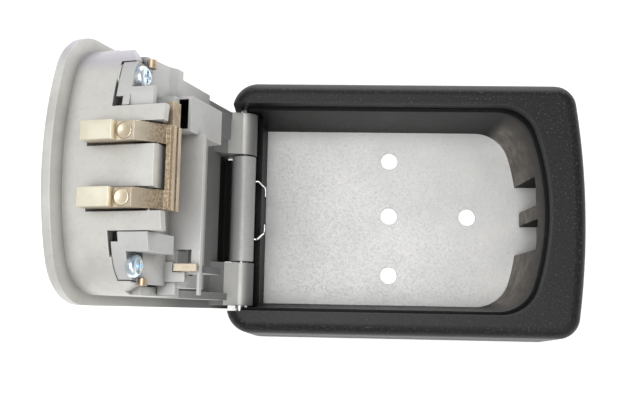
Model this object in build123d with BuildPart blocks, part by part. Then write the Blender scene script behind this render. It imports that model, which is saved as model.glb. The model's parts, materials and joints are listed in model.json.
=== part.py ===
"""Key lock box: a cast wall box with a hinged cast door that carries a four-dial combination lock.

Row frame, millimetres: the box lies on its back. The origin is the centre of the back face, +Z points out
of the front, +X points from the hinge to the latch end, and Y is the width. The door stands open.
Door parts are drawn on door_plane: x = distance from the hinge pin, y = width, z = outwards through the
front of the door, so that negative z is the inside of the door.
"""
from build123d import *
from math import cos, radians, sin
import os

os.makedirs("parts", exist_ok=True)

# ---- driving dimensions -------------------------------------------------------------------------------
clearance = 0.05             # radial running clearance of every pin

box_left = -57.0             # hinge end of the box at the back
box_right = 59.1             # latch end of the box at the back
box_half_width = 41.9        # at the back
box_height = 34.0
box_draft = 3.5              # degrees
latch_end_radius = 250.0     # the latch end is slightly convex
right_corner_radius = 9.0
left_corner_radius = 10.0
front_edge_radius = 4.0

opening_end = 46.2           # latch end of the door opening
opening_half_width = 33.0
opening_arch_radius = 75.0
opening_corner_radius = 12.0
ledge_height = 27.6          # the door flange sits above this ledge
ledge_width = 1.0
floor_end = 41.1             # latch end of the cavity at the plate
floor_half_width = 30.4
end_wall_outer = -50.4
end_wall_inner = -46.6
end_wall_top = 17.0
ear_inner = 33.2             # half distance between the ears

strike_lip_bottom = 21.5     # the hooks catch under this edge
strike_depth = 47.8
bridge_notch = 41.9          # the foot of the rib is cut back this far
bridge_notch_top = 4.6
strike_windows = ((6.7, 9.2, 0.85), (-7.5, 10.0, 0.8))     # centre and width at the foot, lean towards +Y

plate_thickness = 1.5
plate_left = -56.3
plate_right = 50.0
plate_half_width = 37.0
plate_fit = 0.15
wall_hole_radius = 3.0
wall_holes = ((-3.4, 0.6), (23.8, 0.6), (-3.4, 20.1), (-3.4, -20.1))
plate_screw_spots = ((-36.0, 34.0), (-36.0, -34.0), (36.0, 34.0), (36.0, -34.0))
screw_radius = 1.5
plate_screw_head_radius = 2.9
plate_screw_length = 9.0

hinge_x = -52.1
hinge_z = 21.8
hinge_pin_radius = 1.5
knuckle_radius = 4.1
knuckle_inner = 17.8
knuckle_outer = 31.5
barrel_half_length = 17.2
barrel_radius = 3.9
leaf_thickness = 2.4
spring_bore_radius = 3.1
spring_coil_radius = 2.35
spring_wire_radius = 0.5
spring_half_length = 9.0

door_angle = 105.0           # how far the door stands open
face_height = 9.1            # outer face of the door above the hinge axis
face_thickness = 2.9
door_length = 97.8
door_half_width = 32.55
door_start = -4.4
door_edge_radius = 1.2
door_corner_radius = 14.0
pan_end = 93.0               # latch end of the door's inner wall
pan_half_width = 30.0
pan_corner_radius = 12.0
pan_start = 11.0
barrel_recess = 5.4          # end of the recess for the hinge barrel
skin_thickness = 1.4
lip_end = -2.4
lip_half_width = 17.0
lip_height = 5.6
wall_thickness = 2.2
end_wall_depth = 18.8        # how far the inner wall at the latch end reaches inwards

dial_axis = 50.0
dial_axis_height = 2.9
dial_radius = 7.4
dial_width = 5.4
dial_pitch = 8.6
dial_bore = 4.6
dial_count = 4
dial_grooves = 10
axle_radius = 1.5
reset_span = (-23.9, -22.1)  # width of the reset lever

latch_axis = 88.6
latch_axis_height = -14.2
latch_pin_radius = 1.0
arm_width = 4.4
arm_spots = (6.3, -8.7)
arm_top = 95.4
hook_top = 97.5
hook_start = 0.8
hook_length = 7.9
arm_bend = 13.2              # depth where the arm starts to slope towards the bridge
bridge_outer = 19.1
bridge_thickness = 1.1
bridge_top = 89.2
bridge_foot = 84.6
finger_end = 17.1            # depth of the middle finger between the arms

tab_edges = ((1, 12.9, 24.4), (-1, 15.7, 26.8))      # side, inner and outer edge of each corner tab
tab_gap = 0.2
cover_screw_spots = ((86.9, 20.6), (86.9, -23.4))
cover_seat = 9.4             # depth of the screw seats below the hinge axis level
dowel_spot = (83.9, -10.6)
dowel_reach = {1: (23.5, 25.6), -1: (26.1, 27.8)}      # side of the door, foot and tip
dowel_radius = 1.1
cover_screw_head_radius = 2.75

shutter_start = 41.0
shutter_end = 83.0
shutter_half_width = 18.2
shutter_top = 12.8

reset_face = 72.2            # upright inner face of the lock cover
shelf_depth = 19.4
shaft_top = 76.4
shaft_foot = 58.5
shaft_depth = 17.7

# ---- planes and helpers -------------------------------------------------------------------------------
along_door = Vector(cos(radians(door_angle)), 0, sin(radians(door_angle)))
out_of_door = Vector(-sin(radians(door_angle)), 0, cos(radians(door_angle)))
door_plane = Plane(origin=(hinge_x, 0, hinge_z), x_dir=along_door, z_dir=out_of_door)
floor_height = face_height - face_thickness
dial_spots = [(i - (dial_count - 1) / 2) * dial_pitch for i in range(dial_count)]


def door_section(y):
    """Plane across the door at width y: x along the door, y outwards, normal towards -Y."""
    return Plane(origin=(hinge_x, y, hinge_z), x_dir=along_door, z_dir=(0, -1, 0))


def box_section(y):
    """Plane across the box at width y: x = X, y = Z, normal towards -Y."""
    return Plane(origin=(0, y, 0), x_dir=(1, 0, 0), z_dir=(0, -1, 0))


def block(x_range, y_range, z_range, mode=Mode.ADD):
    """Box between two corners of the current workplane."""
    centre = [(r[0] + r[1]) / 2 for r in (x_range, y_range, z_range)]
    size = [abs(r[1] - r[0]) for r in (x_range, y_range, z_range)]
    with Locations(tuple(centre)):
        Box(*size, mode=mode)


def arch(start, end, half_width, radius, corner):
    """Flat outline: straight sides, an arched far end and rounded far corners."""
    sagitta = half_width**2 / (2 * radius)
    with BuildLine() as rim:
        Polyline((end - sagitta, half_width), (start, half_width), (start, -half_width),
                 (end - sagitta, -half_width))
        ThreePointArc((end - sagitta, -half_width), (end, 0), (end - sagitta, half_width))
    outline = make_face(rim.edges())
    fillet(outline.vertices().group_by(Axis.X)[-1], radius=corner)


def rod(plane, spot, radius, length, mode=Mode.ADD):
    """Round bar that starts on plane at spot and runs along the plane's normal."""
    with BuildSketch(plane) as disc:
        with Locations(spot):
            Circle(radius)
    extrude(disc.sketch, amount=length, mode=mode)


def save(piece, name):
    """Label the piece and write its file."""
    piece.part.label = name
    export_step(piece.part, f"parts/{name}.step")


# ---- box side -----------------------------------------------------------------------------------------
with BuildPart() as housing:
    with BuildSketch() as outline:
        with BuildLine():
            bulge = box_half_width**2 / (2 * latch_end_radius)
            Polyline((box_right - bulge, box_half_width), (box_left, box_half_width),
                     (box_left, -box_half_width), (box_right - bulge, -box_half_width))
            ThreePointArc((box_right - bulge, -box_half_width), (box_right, 0),
                          (box_right - bulge, box_half_width))
        make_face()
        fillet(outline.vertices().group_by(Axis.X)[-1], radius=right_corner_radius)
        fillet(outline.vertices().group_by(Axis.X)[0], radius=left_corner_radius)
    extrude(amount=box_height, taper=box_draft)
    fillet(housing.faces().sort_by(Axis.Z)[-1].edges(), radius=front_edge_radius)
    # cavity, wider at the front, from the hinge end wall to the latch end
    with BuildSketch(Plane.XY.offset(plate_thickness)):
        arch(end_wall_inner, floor_end, floor_half_width, opening_arch_radius, opening_corner_radius)
    with BuildSketch(Plane.XY.offset(ledge_height)):
        arch(end_wall_inner, opening_end - ledge_width, opening_half_width - ledge_width,
             opening_arch_radius, opening_corner_radius)
    loft(mode=Mode.SUBTRACT)
    # opening for the door flange, and the low wall at the hinge end
    with BuildSketch(Plane.XY.offset(ledge_height)):
        arch(box_left - 5, opening_end, opening_half_width, opening_arch_radius, opening_corner_radius)
    extrude(amount=box_height, mode=Mode.SUBTRACT)
    block((box_left - 5, end_wall_inner), (-opening_half_width + ledge_width, opening_half_width - ledge_width),
          (end_wall_top, box_height), Mode.SUBTRACT)
    block((box_left - 5, end_wall_outer), (-ear_inner, ear_inner), (-1, box_height + 1), Mode.SUBTRACT)
    # strike windows for the two hooks
    for centre, width, lean in strike_windows:
        for level, shift in ((plate_thickness, 0), (strike_lip_bottom, lean)):
            with BuildSketch(Plane.XY.offset(level)):
                with Locations(((floor_end - 6 + strike_depth) / 2, centre + shift)):
                    Rectangle(strike_depth - floor_end + 6, width)
        loft(mode=Mode.SUBTRACT)
        # foot of the rib between the windows, cut back where the latch bridge passes
    block((floor_end - 1, bridge_notch), (strike_windows[1][0], strike_windows[0][0]),
          (plate_thickness, bridge_notch_top), Mode.SUBTRACT)
    # recess for the back plate
    block((box_left - 1, plate_right + plate_fit), (-plate_half_width - plate_fit, plate_half_width + plate_fit),
          (-1, plate_thickness), Mode.SUBTRACT)
    for spot in plate_screw_spots:
        rod(Plane.XY.offset(plate_thickness), spot, screw_radius + clearance,
            plate_screw_length - plate_thickness + 0.6, Mode.SUBTRACT)
    rod(box_section(ear_inner + 3.0), (hinge_x, hinge_z), hinge_pin_radius + clearance,
        2 * ear_inner + 6.0, Mode.SUBTRACT)
save(housing, "housing")

with BuildPart() as back_plate:
    with BuildSketch():
        with Locations(((plate_left + plate_right) / 2, 0)):
            RectangleRounded(plate_right - plate_left, 2 * plate_half_width, 2.0)
    extrude(amount=plate_thickness)
    # the corners under the ears stay on the housing
    block((plate_left - 1, end_wall_outer), (barrel_half_length, plate_half_width + 1),
          (-1, plate_thickness + 1), Mode.SUBTRACT)
    block((plate_left - 1, end_wall_outer), (-plate_half_width - 1, -barrel_half_length),
          (-1, plate_thickness + 1), Mode.SUBTRACT)
    # hinge leaf and barrel
    block((hinge_x - barrel_radius, hinge_x - barrel_radius + leaf_thickness),
          (-barrel_half_length, barrel_half_length), (0, hinge_z))
    rod(box_section(barrel_half_length), (hinge_x, hinge_z), barrel_radius, 2 * barrel_half_length)
    rod(box_section(barrel_half_length + 1), (hinge_x, hinge_z), hinge_pin_radius + clearance,
        2 * barrel_half_length + 2, Mode.SUBTRACT)
    rod(box_section(spring_half_length + 2), (hinge_x, hinge_z), spring_bore_radius,
        2 * spring_half_length + 4, Mode.SUBTRACT)
    block((hinge_x, hinge_x + knuckle_radius + 1), (-4.5, 8.3), (hinge_z - 3.2, hinge_z - 0.4), Mode.SUBTRACT)
    for side in (1, -1):
        block((hinge_x, hinge_x + knuckle_radius + 1), (side * 8.4, side * 10.8),
              (hinge_z - 3.9, hinge_z - 1.2), Mode.SUBTRACT)
    with Locations(*wall_holes):
        Hole(wall_hole_radius)
    for spot in plate_screw_spots:
        rod(Plane.XY.offset(-1), spot, screw_radius + clearance, plate_thickness + 2, Mode.SUBTRACT)
        with BuildSketch(Plane.XY):
            with Locations(spot):
                Circle(plate_screw_head_radius + clearance)
        with BuildSketch(Plane.XY.offset(plate_thickness)):
            with Locations(spot):
                Circle(screw_radius + clearance)
        loft(mode=Mode.SUBTRACT)
save(back_plate, "back_plate")

with BuildPart() as back_plate_screws:
    for spot in plate_screw_spots:
        rod(Plane.XY, spot, screw_radius, plate_screw_length)
        with BuildSketch(Plane.XY):
            with Locations(spot):
                Circle(plate_screw_head_radius)
        with BuildSketch(Plane.XY.offset(plate_thickness)):
            with Locations(spot):
                Circle(screw_radius)
        loft()
save(back_plate_screws, "back_plate_screws")

with BuildPart() as hinge_pin:
    rod(box_section(ear_inner + 2.4), (hinge_x, hinge_z), hinge_pin_radius, 2 * ear_inner + 4.8)
    chamfer(hinge_pin.edges().filter_by(GeomType.CIRCLE), length=0.3)
save(hinge_pin, "hinge_pin")


def wire(points):
    """Round spring wire along straight runs."""
    with BuildLine() as run:
        Polyline(*points)
    with BuildSketch(Plane(origin=run.line @ 0, z_dir=run.line % 0)) as tip:
        Circle(spring_wire_radius)
    sweep(tip.sketch, path=run.line, transition=Transition.ROUND)


def coil(centre, direction, start, pitch, height, radius):
    """Helix round a centre line, with its first point on the start side."""
    return Plane(origin=centre, x_dir=start, z_dir=direction) * Helix(pitch=pitch, height=height, radius=radius)


def wind(path, wire_radius):
    """Round wire along a helix."""
    with BuildSketch(Plane(origin=path @ 0, z_dir=path % 0)) as tip:
        Circle(wire_radius)
    sweep(tip.sketch, path=path)


spring_turns = 12
door_coil = coil((hinge_x, -spring_half_length, hinge_z), (0, 1, 0), (0, 0, -1),
                 2 * spring_half_length / spring_turns, 2 * spring_half_length, spring_coil_radius)
with BuildPart() as hinge_spring:
    wind(door_coil, spring_wire_radius)
    for side in (1, -1):
        low = hinge_z - spring_coil_radius
        wire(((hinge_x, side * spring_half_length, low), (hinge_x + 1.0, side * 9.7, low),
              (hinge_x + 4.6, side * 9.7, low - 0.3), (hinge_x + 7.0, side * 7.4, low - 0.5),
              (hinge_x + 7.1, side * 4.6, low - 0.5)))
save(hinge_spring, "hinge_spring")

# ---- door castings ------------------------------------------------------------------------------------
def pan_outline(inset):
    """Outline of the door's inner wall at the latch end and sides, drawn smaller by inset."""
    arch(door_start, pan_end - inset, pan_half_width - inset, opening_arch_radius - 4, pan_corner_radius - inset)


with BuildPart(door_plane) as door_shell:
    # inner walls: low beside the dials, deep at the latch end, drawn first and trimmed to one outline
    with BuildSketch(door_plane.offset(floor_height)):
        pan_outline(0)
    extrude(amount=-(floor_height + end_wall_depth))
    with BuildSketch(door_plane.offset(floor_height)):
        pan_outline(wall_thickness)
    extrude(amount=-(floor_height + end_wall_depth + 1), mode=Mode.SUBTRACT)
    block((door_start - 1, door_start + wall_thickness), (-40, 40), (floor_height + 1, -30), Mode.SUBTRACT)
    block((door_start - 1, pan_start), (-40, 40), (floor_height + 1, -30), Mode.SUBTRACT)
    wall_cuts = ((60.0, -40, 40, 0.0), (84.0, 0, 40, 0.0), (83.0, -40, 0, -8.0), (86.5, -40, 40, -9.5))
    for reach, low, high, depth in wall_cuts:
        block((door_start - 1, reach), (low, high), (depth, -30), Mode.SUBTRACT)
    # corner notches for the cover tabs
    for side, inner_edge, outer_edge in tab_edges:
        block((80, 100), (side * inner_edge, side * outer_edge), (-5.2, -30), Mode.SUBTRACT)
        block((80, 100), (side * outer_edge, side * 40), (-8.9, -30), Mode.SUBTRACT)
        # sloped corner of the wall beside the tab
        with BuildSketch(Plane(origin=door_plane.from_local_coords((80, 0, 0)), x_dir=(0, 1, 0),
                               z_dir=along_door)):
            with BuildLine():
                Polyline((side * 29.0, -5.6), (side * outer_edge, -9.4), (side * 24.0, -12.0),
                         (side * 36.0, -12.0), (side * 36.0, -5.6), close=True)
            make_face()
        extrude(amount=20, mode=Mode.SUBTRACT)
    # gaps for the latch arms and a shorter middle finger that clears the bridge and the latch spring
    for centre in arm_spots:
        gap = arm_width / 2 + 0.5
        block((80, 100), (centre - gap, centre + gap), (0.2, -30), Mode.SUBTRACT)
    block((80, 100), (-6.2, 3.8), (-finger_end, -30), Mode.SUBTRACT)
    # lugs for the latch pin, bosses for the cover screws, bearing ribs of the dial axle
    for low, high, end in ((9.2, 12.8, 16.9), (-15.6, -11.5, 16.9), (-6.2, 3.8, finger_end)):
        block((latch_axis - 2.0, pan_end - 1.2), (low, high), (-11.8, -end))
        block((latch_axis + 2.2, pan_end - 1.2), (low, high), (-11.8, -end_wall_depth))
    block((80, 100), (-6.2, 3.8), (-finger_end, -30), Mode.SUBTRACT)
    latch_spot = (latch_axis, latch_axis_height)
    rod(door_section(13.5), latch_spot, latch_pin_radius + clearance, 29.5, Mode.SUBTRACT)
    # pocket of the latch spring, open towards the dials
    rod(door_section(3.2), (latch_axis, latch_axis_height), 1.9, 8.8, Mode.SUBTRACT)
    block((latch_axis - 3, latch_axis), (-5.6, 3.2), (latch_axis_height + 1.9, latch_axis_height - 1.9),
          Mode.SUBTRACT)
    for spot in cover_screw_spots:
        rod(door_plane.offset(floor_height + 0.5), spot, 3.4, -(floor_height + 6.2))
    for rib in (16.6, -16.6):
        block((dial_axis - 5, dial_axis + 5), (rib - 0.6, rib + 0.6), (-2.2, floor_height + 0.5))
    with BuildSketch(door_plane.offset(-end_wall_depth)):
        pan_outline(0)
    extrude(amount=end_wall_depth + floor_height + 1, mode=Mode.INTERSECT)
    # flange that fills the opening of the box
    with BuildSketch(door_plane.offset(floor_height)):
        arch(door_start, door_length, door_half_width, opening_arch_radius, door_corner_radius)
    extrude(amount=face_thickness)
    front = door_shell.faces().sort_by(Axis(door_plane.origin, out_of_door))[-1]
    fillet(front.edges(), radius=door_edge_radius)
    # knuckles, each blended into the floor by a sloped web
    for side in (1, -1):
        low, high = sorted((side * knuckle_inner, side * knuckle_outer))
        rod(door_section(high), (0, 0), knuckle_radius, high - low)
        with BuildSketch(door_section(high)):
            with BuildLine():
                Polyline((door_start + 0.6, floor_height + 1), (11.0, floor_height + 0.2), (6.4, 3.2),
                         (2.7, -3.05), (0, 0), (-knuckle_radius, 0), close=True)
            make_face()
        extrude(amount=high - low)
    # recess for the barrel, closed by a thin skin that thickens to a lip beside the hinge leaf
    block((door_start - 1, barrel_recess), (-knuckle_inner, knuckle_inner),
          (-10, face_height - skin_thickness), Mode.SUBTRACT)
    block((door_start, lip_end), (-lip_half_width, lip_half_width), (lip_height, face_height - skin_thickness))
    hinge_bore = hinge_pin_radius + clearance
    rod(door_section(knuckle_outer + 1), (0, 0), hinge_bore, 2 * knuckle_outer + 2, Mode.SUBTRACT)
    # dial windows, bore of the dial axle, screw holes and the slot for the button stem
    for spot in dial_spots:
        block((dial_axis - 6.9, dial_axis + 6.9), (spot - dial_width / 2 - 0.3, spot + dial_width / 2 + 0.3),
              (floor_height - 1, face_height + 1), Mode.SUBTRACT)
    rod(door_section(20), (dial_axis, dial_axis_height), axle_radius + clearance, 40, Mode.SUBTRACT)
    for spot in cover_screw_spots:
        rod(door_plane.offset(floor_height - 2), spot, screw_radius + 0.02, -30, Mode.SUBTRACT)
    block((62.4, 72.6), (-3.4, 3.4), (floor_height - 1, face_height + 1), Mode.SUBTRACT)
save(door_shell, "door_shell")

with BuildPart(door_plane) as lock_cover:
    # flat cover over the dials, low side walls and the slope up to the latch end
    with BuildSketch(door_section(9.5)):
        with BuildLine():
            Polyline((42.4, -4.8), (42.4, -6.5), (60.0, -6.5), (reset_face, -10.6), (84.2, -10.6),
                     (84.2, -9.0), (72.0, -9.0), (60.6, -4.8), close=True)
        make_face()
    extrude(amount=36.9)
    block((42.4, 60.0), (9.4, 27.6), (-4.8, -6.5))
    block((42.4, 60.0), (26.0, 27.6), (-6.5, floor_height - 0.1))
    block((29.4, 42.6), (15.4, 20.6), (0.0, -1.8))
    block((15.8, 41.6), (20.2, 27.6), (0.0, -1.8))
    block((15.8, 60.0), (26.0, 27.6), (0.0, floor_height - 0.1))
    block((15.8, 17.4), (20.2, 27.6), (0.0, floor_height - 0.1))
    block((42.4, 60.0), (-27.4, -25.4), (-6.5, 1.0))
    block((58.4, 76.6), (-27.2, -25.4), (0.0, -9.2))
    # upright face beside the bridge of the latch, with a stepped plate round the slot of the reset lever
    block((reset_face - 1.3, reset_face), (-29.6, 9.8), (-5.6, -shelf_depth))
    block((reset_face - 0.1, reset_face + 0.8), (-26.5, -21.6), (-9.4, -15.8))
    # shaft that leads down beside the latch, and the rounded shoulder next to it
    block((shaft_foot, shaft_top), (9.6, 18.4), (-5.6, -shaft_depth))
    with BuildSketch(door_section(26.6)):
        with BuildLine():
            Polyline((58.4, 0.0), (58.4, -6.0), (69.5, -11.7), (72.2, -11.7), (74.6, -10.4), (83.9, -9.2),
                     (83.9, -7.2), (74.8, -7.2), (74.8, 0.0), close=True)
        make_face()
    extrude(amount=9.0)
    # corner plates and tabs at the latch end, with the seats of the screws
    for side, inner_edge, outer_edge in tab_edges:
        near, far = side * (inner_edge + tab_gap), side * (outer_edge - tab_gap)
        step = side * (inner_edge + 4.6)
        block((78.0, 100.0), (near, far), (-7.6, -cover_seat))
        block((83.0, 100.0), (near + side * 2.2, far), (-5.8, -8.2))
        block((78.0, 91.0), (near, step), (-9.0, -15.2))
        dowel_foot = side * dowel_reach[side][0]
        block((83.0, 84.8), (dowel_foot - side * 0.8, dowel_foot + side * 0.6), (-8.6, -10.6))
    with BuildSketch(door_plane.offset(-30)):
        pan_outline(tab_gap)
    extrude(amount=30 + floor_height, mode=Mode.INTERSECT)
    # hollow of the shaft, slot of the reset lever and notch beside it
    block((shaft_foot + 1.2, shaft_top + 1), (10.4, 17.6), (-7.2, -shaft_depth + 0.9), Mode.SUBTRACT)
    block((reset_face - 2, reset_face + 2), (-24.1, -18.6), (-12.5, -17.0), Mode.SUBTRACT)
    block((reset_face - 2, reset_face + 2), (-30, -27.6), (-5.0, -8.2), Mode.SUBTRACT)
    block((reset_face - 2, reset_face + 2), (-30, -24.6), (-15.9, -shelf_depth + 0.7), Mode.SUBTRACT)
    block((reset_face - 2, reset_face + 2), (-30, -26.7), (-12.9, -shelf_depth + 0.7), Mode.SUBTRACT)
    # room for the latch, the release plate, the reset lever and the cover screws
    block((80.4, 100), (-11.5, 12.9), (0, -30), Mode.SUBTRACT)
    block((80.4, 89.4), (12.0, 18.2), (-9.2, -30), Mode.SUBTRACT)
    block((49.0, 58.6), (-24.1, -17.0), (0, -10), Mode.SUBTRACT)
    for spot in cover_screw_spots:
        rod(door_plane, spot, screw_radius + 0.02, -30, Mode.SUBTRACT)
        rod(door_plane.offset(-cover_seat), spot, cover_screw_head_radius + 0.1, -5, Mode.SUBTRACT)
    for side, (near, far) in dowel_reach.items():
        seat_plane = door_section(max(side * near, side * far))
        rod(seat_plane, dowel_spot, dowel_radius + 0.02, far - near, Mode.SUBTRACT)
save(lock_cover, "lock_cover")

with BuildPart(door_plane) as cover_screws:
    for spot in cover_screw_spots:
        rod(door_plane.offset(-cover_seat), spot, cover_screw_head_radius, -1.9)
        rod(door_plane.offset(-cover_seat - 1.0), spot, screw_radius, cover_seat + 2.0)
    rims = cover_screws.faces().sort_by(Axis(door_plane.origin, out_of_door))[:2]
    fillet(rims.edges(), radius=1.1)
    for spot in cover_screw_spots:
        for length, width in ((3.0, 0.7), (0.7, 3.0)):
            block((spot[0] - length / 2, spot[0] + length / 2), (spot[1] - width / 2, spot[1] + width / 2),
                  (-cover_seat - 1.1, -cover_seat - 3), Mode.SUBTRACT)
save(cover_screws, "cover_screws")

with BuildPart(door_plane) as cover_dowels:
    for side, (near, far) in dowel_reach.items():
        rod(door_section(max(side * near, side * far)), dowel_spot, dowel_radius, far - near)
save(cover_dowels, "cover_dowels")

# ---- latch --------------------------------------------------------------------------------------------
with BuildPart(door_plane) as latch:
    for centre in arm_spots:
        arm = (centre - arm_width / 2, centre + arm_width / 2)
        with BuildSketch(door_section(arm[1])):
            with BuildLine():
                Polyline((hook_top, -hook_start), (92.3, -hook_start), (92.3, -10.6), (86.8, -12.2),
                         (86.2, -14.2), (86.2, -bridge_outer), (bridge_top, -bridge_outer),
                         (bridge_top, -bridge_outer + bridge_thickness), (arm_top, -arm_bend),
                         (arm_top, -hook_start - hook_length),
                         (hook_top, -hook_start - hook_length), close=True)
            make_face()
        extrude(amount=arm_width)
    bridge_edge = arm_spots[0] + arm_width / 2
    bridge = (arm_spots[1] - arm_width / 2, bridge_edge)
    block((bridge_foot, bridge_top), bridge, (-bridge_outer, -bridge_outer + bridge_thickness))
    # two shallow ribs along the bridge
    block((87.0, 88.1), bridge, (-bridge_outer, -bridge_outer - 0.3))
    block((bridge_foot, 86.0), bridge, (-bridge_outer, -bridge_outer - 0.3))
    rod(door_section(bridge_edge + 1), (latch_axis, latch_axis_height), latch_pin_radius + clearance,
        bridge_edge - arm_spots[1] + arm_width + 2, Mode.SUBTRACT)
save(latch, "latch")

with BuildPart(door_plane) as latch_pin:
    rod(door_section(12.9), (latch_axis, latch_axis_height), latch_pin_radius, 28.3)
save(latch_pin, "latch_pin")

latch_coil = coil(door_plane.from_local_coords((latch_axis, -5.0, latch_axis_height)), (0, 1, 0), along_door,
                  1.1, 7.7, 1.35)
with BuildPart() as latch_spring:
    wind(latch_coil, 0.25)
save(latch_spring, "latch_spring")

with BuildPart(door_plane) as release_plate:
    block((63.5, 84.2), (-5.0, 5.0), (-2.0, -3.2))
    block((83.0, 84.2), (-8.0, 8.0), (-2.0, -17.4))
    block((83.0, 84.2), (-8.0, 14.6), (-15.6, -17.4))
    block((83.0, 86.7), (9.0, 14.6), (-17.0, -18.2))
save(release_plate, "release_plate")

with BuildPart(door_plane) as release_button:
    with BuildSketch(door_plane.offset(face_height + 0.15)):
        with Locations((69.0, 0)):
            RectangleRounded(16.0, 11.0, 2.5)
    extrude(amount=1.4)
    for rib in range(4):
        groove = 64.6 + 3 * rib
        block((groove, groove + 1.0), (-4.0, 4.0), (face_height + 1.2, face_height + 2), Mode.SUBTRACT)
    block((66.0, 72.3), (-3.0, 3.0), (-2.0, face_height + 0.2))
save(release_button, "release_button")

release_coil = coil(door_plane.from_local_coords((73.2, 0, 1.0)), along_door, (0, 1, 0), 1.25, 8.75, 2.0)
with BuildPart() as release_spring:
    wind(release_coil, 0.35)
save(release_spring, "release_spring")

# ---- combination dials --------------------------------------------------------------------------------
for number, spot in enumerate(dial_spots, start=1):
    with BuildPart(door_plane) as dial:
        rod(door_section(spot + dial_width / 2), (dial_axis, dial_axis_height), dial_radius, dial_width)
        chamfer(dial.edges().filter_by(GeomType.CIRCLE), length=0.4)
        rod(door_section(spot + dial_width), (dial_axis, dial_axis_height), dial_bore, 2 * dial_width,
            Mode.SUBTRACT)
        # finger grooves between the digits
        with BuildSketch(door_section(spot + dial_width)) as grooves:
            with Locations((dial_axis, dial_axis_height)):
                with PolarLocations(dial_radius + 0.35, dial_grooves, start_angle=90 + 180 / dial_grooves):
                    Circle(0.8)
        extrude(amount=2 * dial_width, mode=Mode.SUBTRACT)
    save(dial, f"dial_{number}")
    with BuildPart(door_plane) as sleeve:
        dial_side = door_section(spot + dial_width / 2)
        rod(dial_side, (dial_axis, dial_axis_height), dial_bore - clearance, dial_width)
        rod(door_section(spot + dial_width), (dial_axis, dial_axis_height), axle_radius + clearance,
            2 * dial_width, Mode.SUBTRACT)
        # coding flat that the latch senses
        block((dial_axis - 1.0, dial_axis + 1.0), (spot - dial_width, spot + dial_width),
              (dial_axis_height - dial_bore - 1, dial_axis_height - dial_bore + 1.2), Mode.SUBTRACT)
    save(sleeve, f"sleeve_{number}")

with BuildPart(door_plane) as dial_axle:
    rod(door_section(18.2), (dial_axis, dial_axis_height), axle_radius, 36.0)
save(dial_axle, "dial_axle")

with BuildPart(door_plane) as detent_spring:
    block((58.0, 58.3), (-15.4, 15.4), (-2.6, floor_height))
    for spot in dial_spots[:-1]:
        block((57, 59), (spot + dial_pitch / 2 - 0.4, spot + dial_pitch / 2 + 0.4), (-3, 4.6), Mode.SUBTRACT)
save(detent_spring, "detent_spring")

with BuildPart(door_plane) as reset_lever:
    block((46.0, 57.2), reset_span, (-4.0, floor_height - 0.2))
    block((53.4, 57.2), reset_span, (-4.0, -16.5))
    block((53.4, reset_face + 1.2), reset_span, (-13.4, -16.5))
    block((reset_face + 0.9, reset_face + 2.0), reset_span, (-13.4, -19.2))
save(reset_lever, "reset_lever")

# ---- weather shutter on the front of the door ---------------------------------------------------------
with BuildPart(door_plane) as weather_shutter:
    block((shutter_start, shutter_end), (-shutter_half_width - 1.8, shutter_half_width + 1.8),
          (face_height + 0.2, face_height + 2.0))
    with BuildSketch(door_plane.offset(face_height + 2.0)):
        with Locations(((shutter_start + shutter_end) / 2, 0)):
            RectangleRounded(shutter_end - shutter_start, 2 * shutter_half_width, 3.0)
    extrude(amount=shutter_top - face_height - 2.0, taper=20)
    # hollow that slides over the dials and the button, open at the latch end
    block((shutter_start + 2.0, shutter_end + 1.0), (-shutter_half_width + 1.6, shutter_half_width - 1.6),
          (face_height, face_height + 2.2), Mode.SUBTRACT)
    for rib in range(5):
        groove = 70.0 + 2 * rib
        block((groove, groove + 1.0), (-9.0, 9.0), (shutter_top - 0.4, shutter_top + 1), Mode.SUBTRACT)
save(weather_shutter, "weather_shutter")

with BuildPart(door_plane) as shutter_rails:
    for side in (1, -1):
        block((2.5, 86.0), (side * (shutter_half_width + 2.2), side * 23.6), (face_height, shutter_top))
        block((2.5, 86.0), (side * (shutter_half_width + 0.6), side * 23.6), (face_height + 2.3, shutter_top))
save(shutter_rails, "shutter_rails")
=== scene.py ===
"""Looks for the key lock box: materials, dial digits, coined marks, studio and camera.

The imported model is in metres. Places on the door are in millimetres from the hinge pin: along the door
towards the latch, inward from the front of the door, and across its width. MM turns them into metres.
"""
import json
from math import cos, pi, radians, sin

import bmesh
import bpy
from mathutils import Matrix, Vector


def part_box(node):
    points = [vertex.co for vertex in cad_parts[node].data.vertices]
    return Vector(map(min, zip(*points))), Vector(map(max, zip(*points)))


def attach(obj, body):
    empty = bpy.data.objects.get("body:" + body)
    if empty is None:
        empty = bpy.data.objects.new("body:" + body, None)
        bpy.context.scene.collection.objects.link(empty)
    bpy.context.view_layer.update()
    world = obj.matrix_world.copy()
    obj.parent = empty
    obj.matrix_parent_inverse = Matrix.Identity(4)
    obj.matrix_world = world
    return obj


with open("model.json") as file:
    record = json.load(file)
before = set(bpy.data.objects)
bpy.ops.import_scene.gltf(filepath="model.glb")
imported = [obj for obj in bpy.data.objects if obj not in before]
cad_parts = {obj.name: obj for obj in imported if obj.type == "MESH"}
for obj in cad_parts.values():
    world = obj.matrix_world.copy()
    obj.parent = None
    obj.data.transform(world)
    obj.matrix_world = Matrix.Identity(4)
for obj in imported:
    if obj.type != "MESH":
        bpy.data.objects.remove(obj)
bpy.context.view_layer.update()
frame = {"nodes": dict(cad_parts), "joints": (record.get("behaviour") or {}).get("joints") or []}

MM = 0.001

# ---- places worked out from the frame -----------------------------------------------------------------
joints = {joint["name"]: joint for joint in frame["joints"]}
DOOR_ANGLE = radians(105)
ALONG_DOOR = Vector((cos(DOOR_ANGLE), 0, sin(DOOR_ANGLE)))
INTO_DOOR = Vector((sin(DOOR_ANGLE), 0, -cos(DOOR_ANGLE)))
ACROSS = Vector((0, 1, 0))
HINGE = Vector(joints["door_hinge"]["pos_m"])

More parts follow.
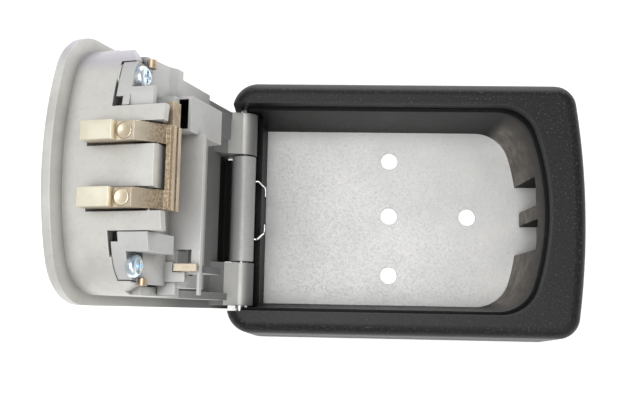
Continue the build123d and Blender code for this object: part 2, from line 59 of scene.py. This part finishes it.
# spans on the door, in millimetres
# The barrel recess and the shaft hollow are painted near black as shade.
BARREL_RECESS = ((-4.5, 5.35), (-7.95, 4.0), (-17.75, 17.75))      # along, inward, across
SHAFT_HOLLOW = ((59.6, 76.6), (7.0, 16.85), (10.35, 17.65))        # along, inward, across
# Painted shadow on the inner faces of the door: full below 30 mm along, gone above 60 mm.
LOW_END_OF_DOOR = (60.0, 30.0)
ARM_START = (90.5, 94.6)         # where the bridge of the latch turns into the arms
PAD_START = (96.0, 97.2)         # where the arms step up to the pads of the hooks
BRIDGE_RIBS = ((87.1, 88.2), (84.6, 85.9))
RIB_DEPTH = (17.5, 18.5)
DULL_ARM = (-1.0, -6.0)          # across the door, from the bright arm to the dull one
LEVER_HEAD = (66.0, 70.0)
ARM_MARK_RADIUS = 1.95
ARM_MARK_ALONG = 95.4
ARM_MARK_INWARD = 10.75
ARM_MARKS_ACROSS = (6.3, -8.7)

# spans on the box, in metres
BARE_WALL_START = (0.030, 0.034)
BARE_WALL_TOP = (0.0285, 0.0265)
BARE_WALL_FADE = (0.010, 0.024)
STRIKE_POCKET = (0.0456, 0.0460)

DIAL_COUNT = 4
DIGITS = 10
DIGIT_SIZE = 4.2 * MM
DIGIT_RELIEF = 0.06 * MM
DIGIT_SINK = 0.03 * MM


def door_point(along, inward, across):
    """Point of the door from its hinge pin, in millimetres."""
    return HINGE + (ALONG_DOOR * along + INTO_DOOR * inward + ACROSS * across) * MM


# ---- node helpers -------------------------------------------------------------------------------------
class Shader:
    """Small wrapper that makes and joins shader nodes. Distances are in millimetres."""

    def __init__(self, name):
        self.material = bpy.data.materials.new(name)
        self.material.use_nodes = True
        self.tree = self.material.node_tree
        self.bsdf = self.tree.nodes["Principled BSDF"]
        self.place = self.tree.nodes.new("ShaderNodeTexCoord").outputs["Object"]

    def node(self, kind, **inputs):
        made = self.tree.nodes.new("ShaderNode" + kind)
        for key, value in inputs.items():
            self.feed(made, key.replace("_", " "), value)
        return made

    def feed(self, node, key, value):
        socket = node.inputs[int(key)] if key.isdigit() else node.inputs[key]
        if isinstance(value, bpy.types.NodeSocket):
            self.tree.links.new(value, socket)
        else:
            socket.default_value = value

    def set(self, **inputs):
        for key, value in inputs.items():
            self.feed(self.bsdf, key.replace("_", " "), value)

    def noise(self, scale, detail=4.0, roughness=0.55, stretch=None):
        place = self.place
        if stretch:
            mapping = self.node("Mapping", Vector=place)
            mapping.inputs["Scale"].default_value = stretch
            place = mapping.outputs[0]
        made = self.node("TexNoise", Vector=place, Scale=scale, Detail=detail, Roughness=roughness)
        return made.outputs["Fac"]

    def ramp(self, value, *stops):
        made = self.tree.nodes.new("ShaderNodeValToRGB")
        self.tree.links.new(value, made.inputs[0])
        ramp = made.color_ramp
        while len(ramp.elements) < len(stops):
            ramp.elements.new(0.5)
        for element, (position, colour) in zip(ramp.elements, stops):
            element.position = position
            element.color = (*colour, 1)
        return made.outputs["Color"]

    def grey(self, value, low, high, out_low=0.0, out_high=1.0):
        made = self.node("MapRange", Value=value)
        for key, number in (("From Min", low), ("From Max", high), ("To Min", out_low), ("To Max", out_high)):
            made.inputs[key].default_value = number
        return made.outputs[0]

    def math(self, operation, first, second):
        made = self.tree.nodes.new("ShaderNodeMath")
        made.operation = operation
        self.feed(made, "0", first)
        self.feed(made, "1", second)
        return made.outputs[0]

    def mix(self, amount, first, second):
        made = self.tree.nodes.new("ShaderNodeMix")
        made.data_type = "RGBA"
        for key, value in ((0, amount), (6, first), (7, second)):
            if isinstance(value, bpy.types.NodeSocket):
                self.tree.links.new(value, made.inputs[key])
            else:
                made.inputs[key].default_value = (*value, 1) if isinstance(value, tuple) else value
        return made.outputs[2]

    def vector_math(self, operation, first, second):
        made = self.tree.nodes.new("ShaderNodeVectorMath")
        made.operation = operation
        self.feed(made, "0", first)
        self.feed(made, "1", second)
        return made.outputs

    def dot(self, first, second):
        return self.vector_math("DOT_PRODUCT", first, second)["Value"]

    def door_place(self):
        """Along, inward and across the door, from the hinge pin."""
        from_hinge = self.vector_math("SUBTRACT", self.place, HINGE)[0]
        axes = (ALONG_DOOR, INTO_DOOR, ACROSS)
        return [self.math("DIVIDE", self.dot(from_hinge, axis), MM) for axis in axes]

    def facing(self, direction, low=0.3, high=0.6):
        """1 on faces that look in a direction, 0 elsewhere."""
        geometry = self.tree.nodes.new("ShaderNodeNewGeometry")
        turned = self.tree.nodes.new("ShaderNodeVectorTransform")
        turned.vector_type = "NORMAL"
        turned.convert_from = "WORLD"
        turned.convert_to = "OBJECT"
        self.tree.links.new(geometry.outputs["Normal"], turned.inputs[0])
        return self.grey(self.dot(turned.outputs[0], direction), low, high)

    def hidden(self, reach, amount=1.0):
        """Amount of painted shade, from ambient occlusion: rises to the amount in corners, gaps and hollows.
        """
        shade = self.node("AmbientOcclusion", Distance=reach * MM)
        shade.samples = 6
        return self.grey(shade.outputs["AO"], 0.85, 0.30, 0.0, amount)

    def crevices(self, reach, base, shade_tone, amount):
        """Painted shade: a darker colour in corners and gaps."""
        return self.mix(self.hidden(reach, amount), base, shade_tone)

    def between(self, value, low, high, soft=0.05):
        """1 inside a span, 0 outside it."""
        rise = self.grey(value, low - soft, low)
        return self.math("MULTIPLY", rise, self.grey(value, high + soft, high))

    def all_of(self, *masks):
        """Product of masks."""
        product = masks[0]
        for mask in masks[1:]:
            product = self.math("MULTIPLY", product, mask)
        return product

    def rounded_normal(self, radius):
        bevel = self.node("Bevel", Radius=radius * MM)
        bevel.samples = 4
        return bevel.outputs[0]

    def soft_edges(self, radius, height, strength, distance):
        """Rounded edges in the shading, and a fine relief from a height value."""
        bump = self.node("Bump", Strength=strength, Distance=distance * MM, Height=height,
                         Normal=self.rounded_normal(radius))
        self.set(Normal=bump.outputs[0])

    def worn_edges(self, radius, amount):
        """Rises to the amount on sharp edges, 0 elsewhere."""
        normal = self.tree.nodes.new("ShaderNodeNewGeometry").outputs["Normal"]
        sharpness = self.grey(self.dot(normal, self.rounded_normal(radius)), 0.98, 0.75)
        return self.math("MULTIPLY", sharpness, amount)


# ---- materials ----------------------------------------------------------------------------------------
def bare_wall(s):
    """Mask and colour of the bare casting on the inside of the latch-end wall."""
    bare = s.ramp(s.noise(260, 5.0), (0.3, (0.13, 0.115, 0.10)), (0.55, (0.24, 0.215, 0.19)),
                  (0.8, (0.36, 0.34, 0.32)))
    split = s.node("SeparateXYZ", Vector=s.place)
    bare = s.mix(s.grey(split.outputs["Z"], *BARE_WALL_FADE, 0.0, 0.85), bare, (0.045, 0.040, 0.035))
    inside = s.facing((-1, 0, 0), 0.25, 0.55)
    far_end = s.grey(split.outputs["X"], *BARE_WALL_START)
    edge = s.math("ADD", split.outputs["Z"], s.math("MULTIPLY", s.noise(110, 3.0), 3 * MM))
    depth = s.grey(edge, *BARE_WALL_TOP)
    pocket = s.grey(split.outputs["X"], *STRIKE_POCKET)
    return s.all_of(inside, depth, s.math("MAXIMUM", far_end, pocket)), bare


def black_coat():
    """Fine speckled black powder coat with a painted sheen on faces turned to +Y and painted shade in
    hollows; the deep part of the latch-end wall is bare casting.
    """
    s = Shader("black_coat")
    speckle = s.noise(1500, 2.0)
    mottle = s.noise(120, 3.0)
    paint = s.ramp(speckle, (0.36, (0.004, 0.004, 0.005)), (0.60, (0.010, 0.010, 0.011)),
                   (0.72, (0.060, 0.060, 0.064)))
    paint = s.mix(s.grey(mottle, 0.35, 0.75, 0.0, 0.25), paint, (0.012, 0.012, 0.013))
    paint = s.mix(s.worn_edges(0.7, 0.45), paint, (0.11, 0.11, 0.115))
    # Painted sheen: faces turned towards +Y and up are coloured lighter, as if they reflected light.
    painted_sheen = s.math("MULTIPLY", s.facing((0, 0.96, 0.28), 0.5, 0.95), 0.6)
    paint = s.mix(painted_sheen, paint, (0.060, 0.060, 0.064))
    # Painted shade: near black in hollows, found by ambient occlusion; the same mask also dims the specular.
    hollow = s.hidden(30.0)
    paint = s.mix(hollow, paint, (0.003, 0.003, 0.003))
    mask, bare = bare_wall(s)
    s.set(Base_Color=s.mix(mask, paint, bare), Metallic=s.math("MULTIPLY", mask, 0.5),
          Roughness=s.grey(speckle, 0.3, 0.8, 0.40, 0.56),
          Specular_IOR_Level=s.grey(hollow, 0.0, 0.8, 0.30, 0.04))
    s.soft_edges(0.35, s.math("ADD", s.math("MULTIPLY", speckle, 0.7), mottle), 0.36, 0.14)
    return s.material


def galvanised():
    """Light grey zinc-coated sheet with a faint grain."""
    s = Shader("galvanised")
    grain = s.noise(1500, 4.0)
    cloud = s.noise(45, 4.0)
    base = s.ramp(cloud, (0.3, (0.52, 0.525, 0.515)), (0.7, (0.61, 0.605, 0.59)))
    base = s.mix(s.grey(grain, 0.50, 0.75, 0.0, 0.35), base, (0.40, 0.39, 0.37))
    s.set(Base_Color=base, Metallic=0.3, Roughness=s.grey(grain, 0.3, 0.7, 0.38, 0.52))
    s.soft_edges(0.25, grain, 0.10, 0.05)
    return s.material


def cast_zinc(name, light, dark, roughness, hollow):
    """Satin die casting: soft clouds, brown stains, fine grain and lighter edges. Painted shade darkens the
    faces turned to +Y, the inside of the door's low end, corners and gaps, and one black hollow is painted
    near black as shade.
    """
    s = Shader(name)
    place = s.door_place()
    grain = s.noise(1500, 3.0)
    cloud = s.noise(70, 4.0)
    base = s.ramp(cloud, (0.3, dark), (0.7, light))
    base = s.mix(s.grey(s.noise(900, 3.0), 0.55, 0.72, 0.0, 0.22), base, (0.40, 0.39, 0.36))
    base = s.mix(s.grey(s.noise(55, 5.0, 0.6), 0.52, 0.72, 0.0, 0.35), base, (0.42, 0.39, 0.33))
    # Painted shade: faces turned to +Y are coloured a darker lavender.
    base = s.mix(s.math("MULTIPLY", s.facing((0, 1, 0)), 0.75), base, (0.40, 0.38, 0.44))
    # Painted shadow on the inner faces of the door's low end.
    low_end_shade = s.math("MULTIPLY", s.grey(place[0], *LOW_END_OF_DOOR), s.facing(INTO_DOOR, 0.4, 0.8))
    base = s.mix(s.math("MULTIPLY", low_end_shade, 0.75), base, (0.16, 0.16, 0.165))
    brighter = tuple(channel * 1.25 for channel in light)
    base = s.mix(s.worn_edges(0.35, 0.5), base, brighter)
    # Painted shade: darker in corners and gaps, from ambient occlusion over 5 mm.
    base = s.crevices(5.0, base, (0.10, 0.098, 0.09), 0.85)
    # Painted shade: the given recess is coloured near black and made not metallic.
    unlit = s.all_of(*(s.between(value, *span) for value, span in zip(place, hollow)))
    base = s.mix(unlit, base, (0.010, 0.010, 0.011))
    s.set(Base_Color=base, Metallic=s.math("SUBTRACT", 0.3, s.math("MULTIPLY", unlit, 0.3)),
          Roughness=s.grey(grain, 0.3, 0.7, roughness, roughness + 0.12))
    s.soft_edges(0.3, s.math("ADD", grain, s.math("MULTIPLY", cloud, 0.6)), 0.18, 0.08)
    return s.material


def champagne_brass(name, bright, dull):
    """Yellow-passivated metal: brown and grainy, lighter on rubbed edges, with painted shade in corners and
    gaps.
    """
    s = Shader(name)
    grain = s.noise(2200, 3.0)
    cloud = s.noise(160, 5.0, 0.65)
    base = s.ramp(cloud, (0.36, dull), (0.62, bright))
    base = s.mix(s.worn_edges(0.3, 0.6), base, (0.92, 0.80, 0.62))
    # Painted shade: darker brown in corners and gaps, from ambient occlusion.
    s.set(Base_Color=s.crevices(2.5, base, (0.09, 0.07, 0.045), 0.8), Metallic=0.75,
          Roughness=s.grey(cloud, 0.3, 0.7, 0.28, 0.44))
    s.soft_edges(0.2, grain, 0.14, 0.05)
    return s.material


def latch_passivate():
    """The latch: polished pads on the hooks, duller arms, brown speckled bridge with a painted highlight on
    its ribs, and painted shade in corners and gaps.
    """
    s = Shader("latch_metal")
    along, inward, across = s.door_place()
    cloud = s.noise(160, 5.0, 0.65)
    speckle = s.noise(2000, 3.0)
    bridge = s.ramp(speckle, (0.34, (0.26, 0.19, 0.12)), (0.50, (0.42, 0.33, 0.22)),
                    (0.68, (0.62, 0.51, 0.37)))
    # Painted highlight: lighter bands on the bridge ribs where their tops catch the light.
    upper_rib, lower_rib = (s.between(along, *span, 0.15) for span in BRIDGE_RIBS)
    ribs = s.math("MAXIMUM", upper_rib, lower_rib)
    rib_highlight = s.all_of(ribs, s.facing(INTO_DOOR), s.grey(inward, *RIB_DEPTH))
    bridge = s.mix(rib_highlight, bridge, (0.80, 0.66, 0.50))
    arm = s.ramp(cloud, (0.3, (0.68, 0.59, 0.46)), (0.65, (0.80, 0.71, 0.57)))
    arm = s.mix(s.grey(across, *DULL_ARM, 0.0, 0.6), arm, (0.46, 0.37, 0.26))
    pad = s.ramp(cloud, (0.3, (0.95, 0.88, 0.67)), (0.6, (1.0, 0.96, 0.78)))
    base = s.mix(s.grey(along, *ARM_START), bridge, arm)
    base = s.mix(s.grey(along, *PAD_START), base, pad)
    base = s.mix(s.worn_edges(0.25, 0.55), base, (0.93, 0.82, 0.66))
    # Painted shade: darker brown in corners and gaps, from ambient occlusion.
    s.set(Base_Color=s.crevices(2.0, base, (0.09, 0.07, 0.045), 0.8), Metallic=0.7,
          Roughness=s.grey(cloud, 0.3, 0.7, 0.28, 0.42))
    s.soft_edges(0.2, speckle, 0.16, 0.05)
    return s.material


def lever_metal():
    """Reset lever: rubbed brass head on a leg coloured dark grey as painted shade, like the shaded cover
    beside it.
    """
    s = Shader("lever_metal")
    along = s.door_place()[0]
    cloud = s.noise(220, 4.0)
    head = s.ramp(cloud, (0.3, (0.72, 0.61, 0.46)), (0.65, (0.90, 0.79, 0.62)))
    # Painted shade: the leg is coloured dark grey, like the shaded cover beside it.
    leg = s.ramp(cloud, (0.3, (0.13, 0.13, 0.13)), (0.7, (0.22, 0.22, 0.22)))
    s.set(Base_Color=s.mix(s.grey(along, *LEVER_HEAD), leg, head), Metallic=0.6,
          Roughness=s.grey(cloud, 0.3, 0.7, 0.28, 0.42))
    s.soft_edges(0.2, s.noise(2000, 3.0), 0.12, 0.05)
    return s.material


def bright_steel():
    """Drawn steel pins and springs."""
    s = Shader("bright_steel")
    drawn = s.noise(900, 3.0, 0.5, (1, 0.06, 1))
    s.set(Base_Color=s.ramp(drawn, (0.3, (0.50, 0.50, 0.50)), (0.7, (0.82, 0.82, 0.81))), Metallic=0.95,
          Roughness=s.grey(drawn, 0.3, 0.7, 0.18, 0.32))
    s.soft_edges(0.1, drawn, 0.06, 0.02)
    return s.material


def blue_zinc():
    """Blue-white zinc plated screws."""
    s = Shader("blue_zinc")
    tint = s.noise(520, 3.0)
    base = s.ramp(tint, (0.32, (0.42, 0.60, 0.78)), (0.52, (0.80, 0.86, 0.90)),
                  (0.72, (0.62, 0.78, 0.90)))
    s.set(Base_Color=base, Metallic=0.9, Roughness=s.grey(tint, 0.3, 0.7, 0.20, 0.34))
    s.soft_edges(0.15, s.noise(1800, 2.0), 0.05, 0.02)
    return s.material


def moulded_black():
    """Matt black moulded plastic with a fine leather-like tooth."""
    s = Shader("moulded_black")
    tooth = s.noise(1700, 3.0)
    s.set(Base_Color=s.ramp(tooth, (0.3, (0.014, 0.014, 0.015)), (0.7, (0.035, 0.035, 0.037))),
          Roughness=s.grey(tooth, 0.3, 0.7, 0.42, 0.56))
    s.soft_edges(0.3, tooth, 0.3, 0.06)
    return s.material


def digit_white():
    """Filled digits of the dials."""
    s = Shader("digit_white")
    wear = s.noise(1500, 3.0)
    s.set(Base_Color=s.ramp(wear, (0.25, (0.62, 0.62, 0.60)), (0.6, (0.88, 0.88, 0.86))), Roughness=0.55)
    return s.material


coat = black_coat()
plate = galvanised()
casting = cast_zinc("door_casting", (0.66, 0.655, 0.62), (0.56, 0.555, 0.53), 0.36, BARREL_RECESS)
cover_casting = cast_zinc("cover_casting", (0.60, 0.60, 0.59), (0.51, 0.51, 0.50), 0.38, SHAFT_HOLLOW)
brass = champagne_brass("plain_brass", (0.66, 0.54, 0.40), (0.36, 0.27, 0.18))
latch_metal = latch_passivate()
lever = lever_metal()
rubbed_brass = champagne_brass("rubbed_brass", (0.86, 0.76, 0.59), (0.68, 0.58, 0.43))
steel = bright_steel()
screw_zinc = blue_zinc()
black = moulded_black()
white = digit_white()

NODE_MATERIALS = {
    "housing": coat, "back_plate": plate, "back_plate_screws": screw_zinc, "hinge_pin": steel,
    "hinge_spring": steel, "door_shell": casting, "lock_cover": cover_casting, "cover_screws": screw_zinc,
    "cover_dowels": brass, "shutter_rails": casting, "dial_axle": steel, "detent_spring": steel,
    "latch_pin": steel, "latch_spring": steel, "release_spring": steel, "release_button": black,
    "release_plate": brass, "latch": latch_metal, "reset_lever": lever, "weather_shutter": black,
}
for number in range(1, DIAL_COUNT + 1):
    NODE_MATERIALS[f"dial_{number}"] = black
    NODE_MATERIALS[f"sleeve_{number}"] = brass

for name, node in frame["nodes"].items():
    node.data.materials.clear()
    node.data.materials.append(NODE_MATERIALS[name])


# ---- pieces added to the CAD --------------------------------------------------------------------------
def frame_matrix(origin, x_axis, z_axis):
    """Matrix with the given origin, x axis and z axis."""
    x = x_axis.normalized()
    z = z_axis.normalized()
    y = z.cross(x)
    return Matrix.Translation(origin) @ Matrix((x, y, z)).transposed().to_4x4()


def coined_disc(name, matrix, radius):
    """Shallow round coined mark with a rolled rim, on the latch."""
    mesh = bpy.data.meshes.new(name)
    shape = bmesh.new()
    profile = ((0.0, 0.05), (0.60, 0.06), (0.82, 0.10), (0.92, 0.12), (1.0, 0.02))      # share, height
    steps = 40
    rings = []
    for share, height in profile:
        ring = []
        for i in range(steps):
            turn = 2 * pi * i / steps
            place = Vector((cos(turn) * share * radius, sin(turn) * share * radius, height * MM))
            ring.append(shape.verts.new(matrix @ place))
            if share == 0.0:
                break
        rings.append(ring)
    for i in range(steps):
        shape.faces.new((rings[0][0], rings[1][i], rings[1][(i + 1) % steps]))
        for inner, outer in zip(rings[1:], rings[2:]):
            shape.faces.new((inner[i], outer[i], outer[(i + 1) % steps], inner[(i + 1) % steps]))
    shape.faces.new([rings[-1][i] for i in reversed(range(steps))])
    for face in shape.faces:
        face.smooth = len(face.verts) < 5
    shape.to_mesh(mesh)
    shape.free()
    piece = bpy.data.objects.new(name, mesh)
    bpy.context.scene.collection.objects.link(piece)
    piece.data.materials.append(rubbed_brass)
    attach(piece, "latch")


def dial_digits():
    """Raised white digits round each dial."""
    for number in range(1, DIAL_COUNT + 1):
        low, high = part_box(f"dial_{number}")
        centre = Vector([(a + b) / 2 for a, b in zip(low, high)])
        radius = (high[0] - low[0]) / 2
        for digit in range(DIGITS):
            turn = 2 * pi * digit / DIGITS
            outward = (-INTO_DOOR) * cos(turn) + ALONG_DOOR * sin(turn)
            text = bpy.data.curves.new(f"digit_{number}_{digit}", "FONT")
            text.body = str(digit)
            text.size = DIGIT_SIZE
            text.extrude = DIGIT_RELIEF
            text.align_x = "CENTER"
            text.align_y = "CENTER"
            piece = bpy.data.objects.new(f"digit_{number}_{digit}", text)
            bpy.context.scene.collection.objects.link(piece)
            piece.matrix_world = frame_matrix(centre + outward * (radius - DIGIT_SINK), ACROSS, outward)
            piece.data.materials.append(white)
            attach(piece, f"dial_set_{number}")


dial_digits()
for index, across in enumerate(ARM_MARKS_ACROSS, start=1):
    spot = door_point(ARM_MARK_ALONG, ARM_MARK_INWARD, across)
    coined_disc(f"arm_mark_{index}", frame_matrix(spot, ACROSS, ALONG_DOOR), ARM_MARK_RADIUS * MM)

# ---- studio -------------------------------------------------------------------------------------------
FLOOR_REACH = 20
FLOOR_LEVEL = -0.4 * MM
WORLD_BRIGHTNESS = 0.42

corners = ((-1, -1), (1, -1), (1, 1), (-1, 1))
floor_mesh = bpy.data.meshes.new("studio_floor")
floor_mesh.from_pydata([(x * FLOOR_REACH, y * FLOOR_REACH, FLOOR_LEVEL) for x, y in corners], [],
                       [(0, 1, 2, 3)])
floor = bpy.data.objects.new("studio_floor", floor_mesh)
bpy.context.scene.collection.objects.link(floor)
floor_shader = Shader("studio_floor")
pale = floor_shader.ramp(floor_shader.noise(3.0), (0.3, (0.95, 0.95, 0.95)), (0.7, (0.97, 0.97, 0.97)))
floor_shader.set(Base_Color=pale, Roughness=0.9, Emission_Color=(1, 1, 1, 1), Emission_Strength=0.35)
floor.data.materials.append(floor_shader.material)

world = bpy.data.worlds.new("studio")
world.use_nodes = True
background = world.node_tree.nodes["Background"]
background.inputs["Color"].default_value = (1, 1, 1, 1)
background.inputs["Strength"].default_value = WORLD_BRIGHTNESS
bpy.context.scene.world = world


def softbox(name, location, target, size, power):
    """Square area light that looks at a target."""
    light = bpy.data.lights.new(name, "AREA")
    light.shape = "SQUARE"
    light.size = size
    light.energy = power
    lamp = bpy.data.objects.new(name, light)
    bpy.context.scene.collection.objects.link(lamp)
    lamp.location = location
    lamp.rotation_euler = (Vector(target) - Vector(location)).to_track_quat("-Z", "Y").to_euler()


softbox("key_light", (-0.12, -0.04, 0.80), (0, 0, 0.02), 0.5, 4.0)
softbox("fill_light", (0.35, -0.50, 0.60), (-0.02, 0, 0.03), 0.6, 1.2)
softbox("rim_light", (0.05, 0.80, 0.16), (0, 0, 0.03), 0.5, 3.4)

camera_data = bpy.data.cameras.new("camera")
camera = bpy.data.objects.new("camera", camera_data)
bpy.context.scene.collection.objects.link(camera)
camera.location = Vector((-14.36, -32.805, 303.06)) * MM
camera.rotation_euler = (0.1266, 0.0414, 0.0192)
camera_data.sensor_width = 36
camera_data.lens = 48.55
camera_data.clip_start = 0.01
bpy.context.scene.camera = camera
bpy.context.scene.view_settings.view_transform = "Standard"

bpy.context.view_layer.update()
